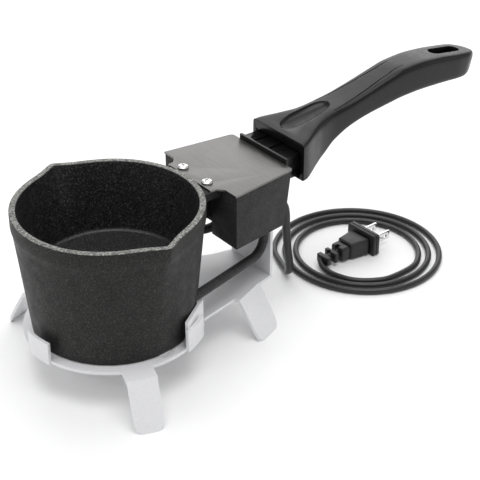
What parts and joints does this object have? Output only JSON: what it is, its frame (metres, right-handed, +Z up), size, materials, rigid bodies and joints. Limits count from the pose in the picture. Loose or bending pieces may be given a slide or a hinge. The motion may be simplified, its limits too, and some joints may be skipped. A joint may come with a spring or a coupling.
{
  "type": "candle melting pot",
  "caption": "Electric melting pot with pouring lips, a heater housing and a long handle, resting on a bent sheet-metal stand, with a mains cord and plug.",
  "frame": {"origin": "on the table, under the middle of the object's length without its cord", "axes": "+X from the pot to the end of the handle, +Z up, the pouring lips on -Y and +Y"},
  "size_m": [0.353, 0.1556, 0.1352],
  "materials": {
    "cast_pot": "speckled non-stick coating over the casting, worn grey rim",
    "heater_tube": "matt black heat-proof coating",
    "housing_paint": "fine-textured black powder coat",
    "cover_steel": "brushed along the handle's direction",
    "screw_chrome": "bright",
    "handle_plastic": "satin moulded phenolic",
    "stand_aluminium": "satin blasted sheet",
    "cord_rubber": "satin",
    "plug_plastic": "satin moulded",
    "blade_nickel": "bright nickel",
    "plain_steel": "zinc plated",
    "dark_steel": "blued sheet",
    "ceramic_white": "glazed steatite",
    "brass_fitting": "plain",
    "insulation_wool": "pressed mineral wool",
    "mica_brown": "laminated mica",
    "wire_brown": "sleeved",
    "wire_white": "sleeved",
    "wire_red": "sleeved"
  },
  "bodies": {
    "stand": {"stand": "stand_aluminium", "cord_drop": "cord_rubber", "cord_coil": "cord_rubber", "cord_tail": "cord_rubber", "plug_body": "plug_plastic", "plug_blades": "blade_nickel"},
    "pot_unit": {"pot": "cast_pot", "heating_element": "heater_tube", "element_terminals": "ceramic_white", "element_collars": "brass_fitting", "element_clamp": "plain_steel", "base_stud": "plain_steel", "clamp_nut": "plain_steel", "base_insulation": "insulation_wool", "base_cover": "dark_steel", "base_cover_nut": "plain_steel", "housing": "housing_paint", "housing_screws": "plain_steel", "mica_sheet": "mica_brown", "cover_plate": "cover_steel", "cover_screws": "screw_chrome", "handle_adapter": "handle_plastic", "adapter_screws": "plain_steel", "handle": "handle_plastic", "handle_tang": "plain_steel", "handle_screw": "plain_steel", "thermal_cutout": "ceramic_white", "terminal_block": "ceramic_white", "live_wire": "wire_brown", "neutral_wire": "wire_white", "cutout_wire": "wire_red", "cord_clamp": "plug_plastic", "cord_clamp_screws": "plain_steel", "cord_bushing": "cord_rubber", "cord_boot": "cord_rubber"}
  },
  "joints": [
    {"name": "pot_lift", "type": "slide", "parent": "stand", "child": "pot_unit", "axis": [0, 0, 1], "range_m": [0, 0.05]}
  ]
}
